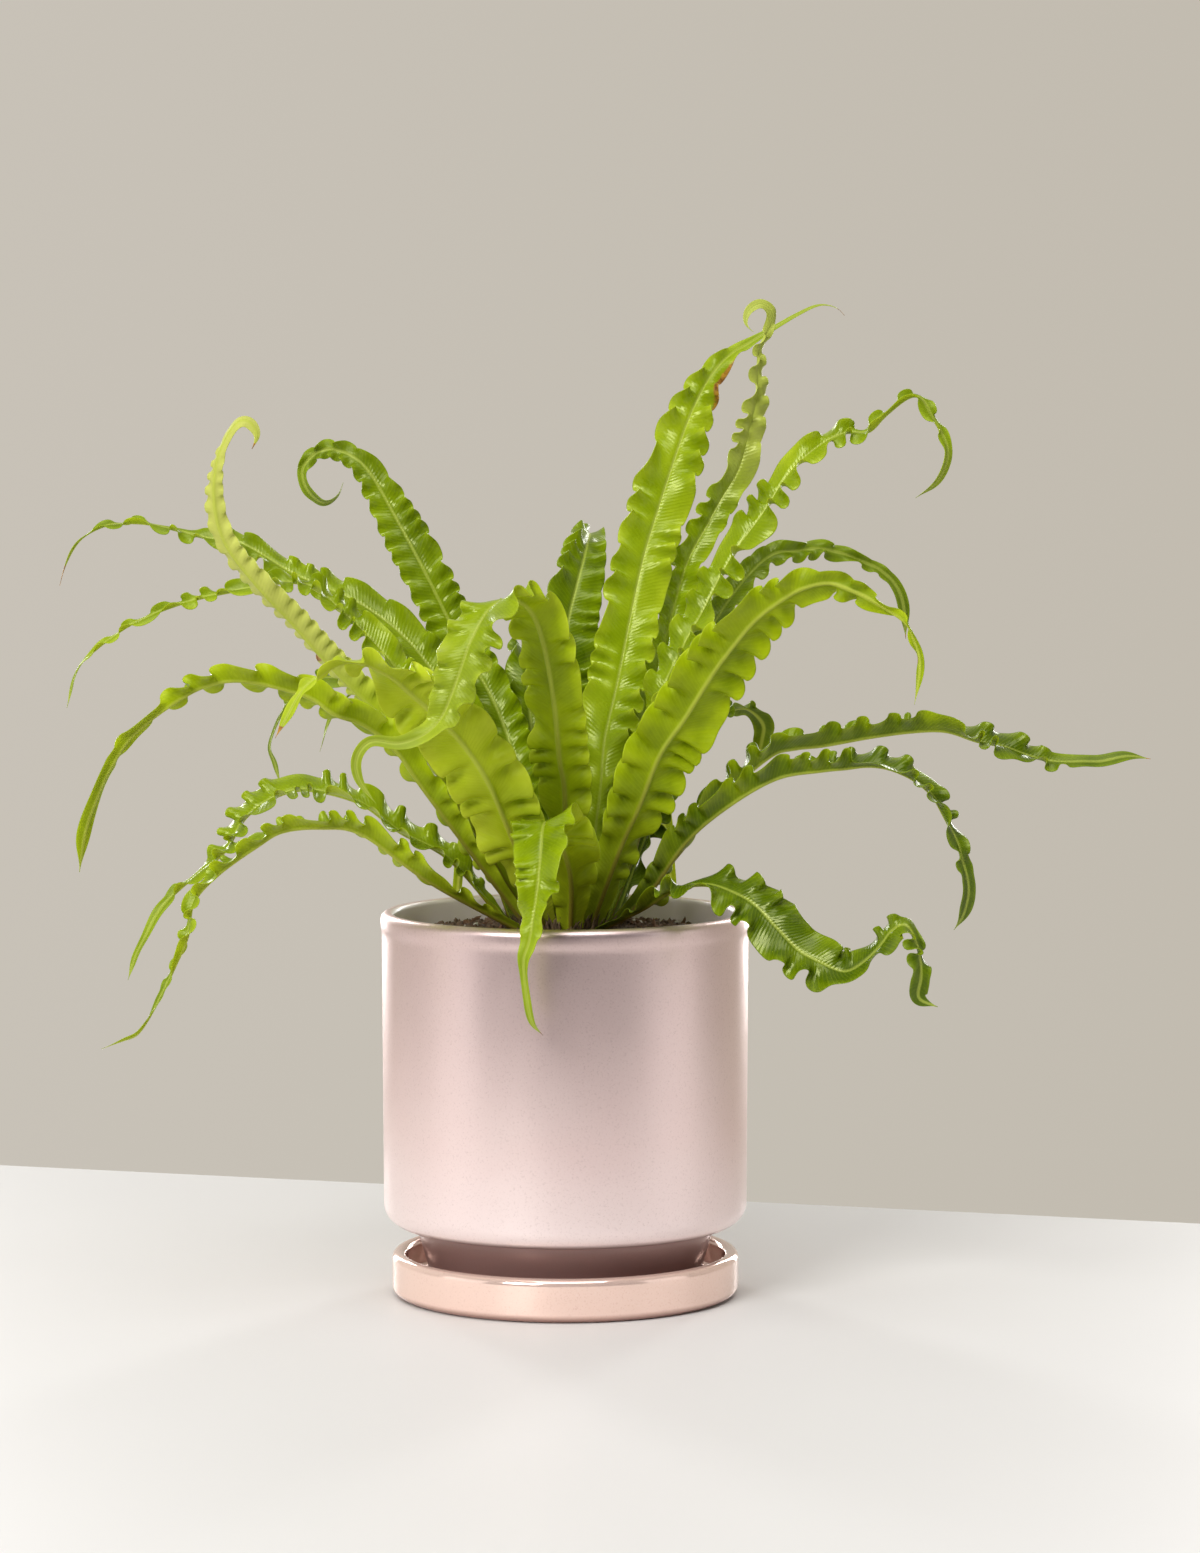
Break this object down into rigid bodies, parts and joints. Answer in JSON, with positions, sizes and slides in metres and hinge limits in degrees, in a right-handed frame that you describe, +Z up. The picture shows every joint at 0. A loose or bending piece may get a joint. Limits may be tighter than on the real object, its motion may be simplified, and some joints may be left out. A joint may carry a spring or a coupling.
{
  "type": "potted fern",
  "caption": "Living fern with long arching wavy-edged fronds in a round metallic glazed ceramic pot that stands on a matching low saucer.",
  "frame": {"origin": "centre of the saucer's flat underside, on the surface the plant stands on", "axes": "+Z up along the pot's axis; the plant's front is -Y and its longest frond reaches out to +X"},
  "size_m": [0.4254, 0.2804, 0.3772],
  "materials": {
    "saucer_glaze": "gloss",
    "pot_glaze": "satin",
    "soil": "matte",
    "crown": "matte",
    "leaf": "satin",
    "young_leaf": "satin"
  },
  "bodies": {
    "root": {"saucer": "saucer_glaze", "pot": "pot_glaze", "soil": "soil", "crown": "crown", "frond_left_curl": "leaf", "frond_left_pale": "young_leaf", "frond_left_back_long": "leaf", "frond_left_long": "leaf", "frond_left_spear": "leaf", "frond_front_left_broad": "leaf", "frond_back_left_hanging": "leaf", "frond_back_left_small": "leaf", "frond_low_left_upper": "leaf", "frond_low_left_lower": "leaf", "frond_centre_fold": "leaf", "frond_back_dark": "leaf", "frond_centre_short": "leaf", "frond_tall_centre": "leaf", "frond_tall_twist": "leaf", "frond_front_right_broad": "leaf", "frond_right_ruffled": "leaf", "frond_back_right_arch": "leaf", "frond_back_right_short": "leaf", "frond_far_right": "leaf", "frond_right_droop": "leaf", "frond_right_over_rim": "leaf", "frond_front_fold": "leaf", "frond_back_centre": "leaf", "frond_back_low_left": "leaf", "frond_back_low_right": "leaf"}
  },
  "joints": []
}
